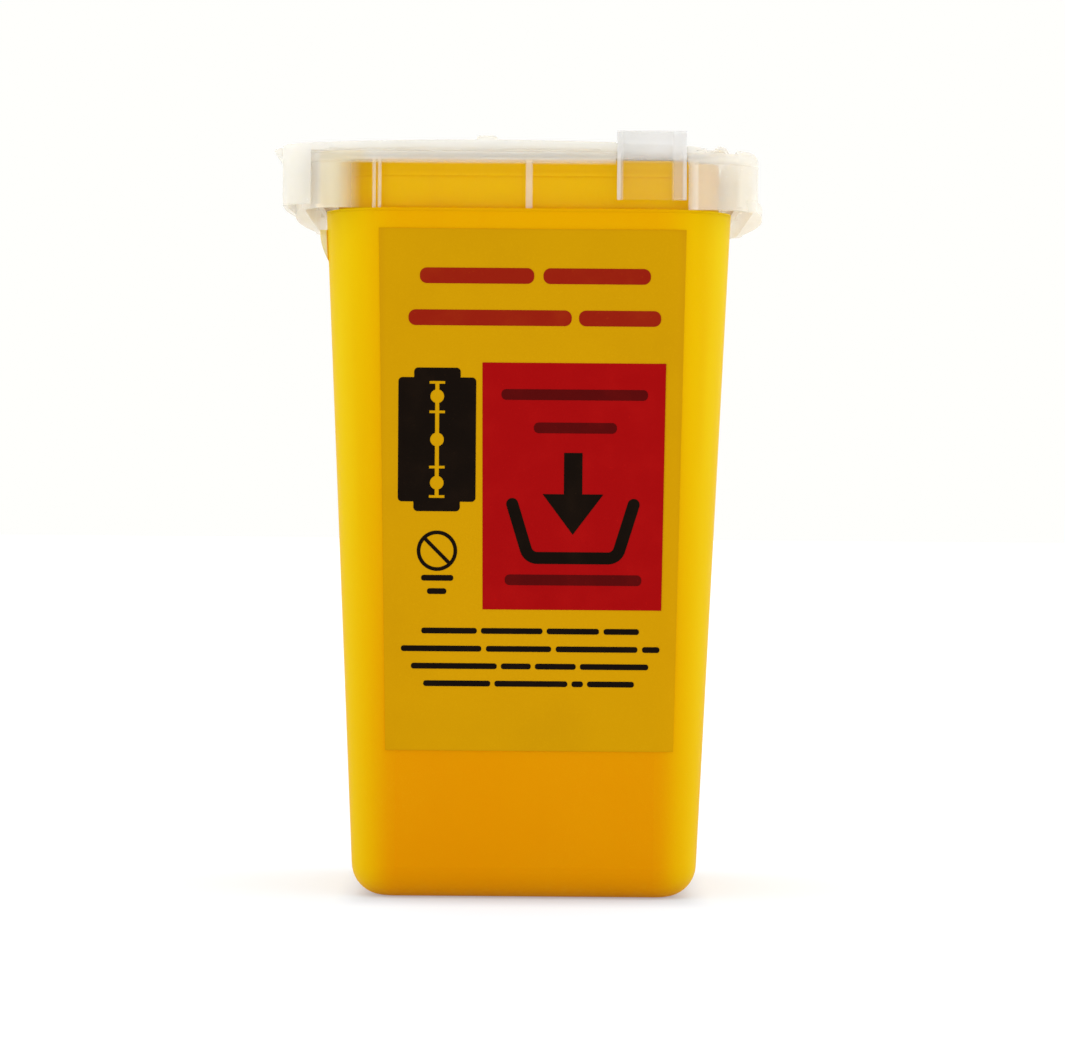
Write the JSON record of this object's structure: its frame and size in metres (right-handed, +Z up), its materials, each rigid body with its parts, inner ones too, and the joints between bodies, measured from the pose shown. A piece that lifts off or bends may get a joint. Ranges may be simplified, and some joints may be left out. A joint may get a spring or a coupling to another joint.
{
  "type": "sharps container",
  "caption": "Tapered square sharps box with a translucent press-on lid, a hinged flip cover over the drop opening, a lock tongue and a printed front label.",
  "frame": {"origin": "middle of the foot that the box stands on, at floor level", "axes": "+Z up, out of the mouth; the labelled front faces -Y; +X is towards the cover's hinge"},
  "size_m": [0.1084, 0.0898, 0.1674],
  "materials": {
    "yellow_shell": "semi-gloss moulded polypropylene, saturated yellow-orange",
    "natural_lid": "milky translucent natural polypropylene",
    "natural_cover": "milky translucent natural polypropylene",
    "natural_tongue": "milky translucent natural polypropylene",
    "label_film": "satin mustard-yellow film",
    "dark_red_ink": "printed ink",
    "red_ink": "printed ink",
    "black_ink": "printed ink"
  },
  "bodies": {
    "container": {"container_body": "yellow_shell", "label_film": "label_film", "title_print": "dark_red_ink", "text_print": "black_ink", "panel_print": "red_ink", "panel_bars_print": "dark_red_ink", "bin_mark_print": "black_ink", "blade_mark_print": "black_ink", "ring_mark_print": "black_ink"},
    "lid": {"lid": "natural_lid"},
    "cover": {"flip_cover": "natural_cover"},
    "tongue": {"lock_tongue": "natural_tongue"}
  },
  "joints": [
    {"name": "lid_lift", "type": "slide", "parent": "container", "child": "lid", "axis": [0, 0, 1], "range_m": [0, 0.06]},
    {"name": "cover_hinge", "type": "hinge", "parent": "lid", "child": "cover", "pos_m": [0.0418, 0, 0.163], "axis": [0, 1, 0], "range_deg": [0, 110]},
    {"name": "tongue_flex", "type": "hinge", "parent": "lid", "child": "tongue", "pos_m": [0.02665, -0.0441, 0.153], "axis": [1, 0, 0], "range_deg": [-6, 12], "stiffness_Nm_per_rad": 0.05}
  ]
}
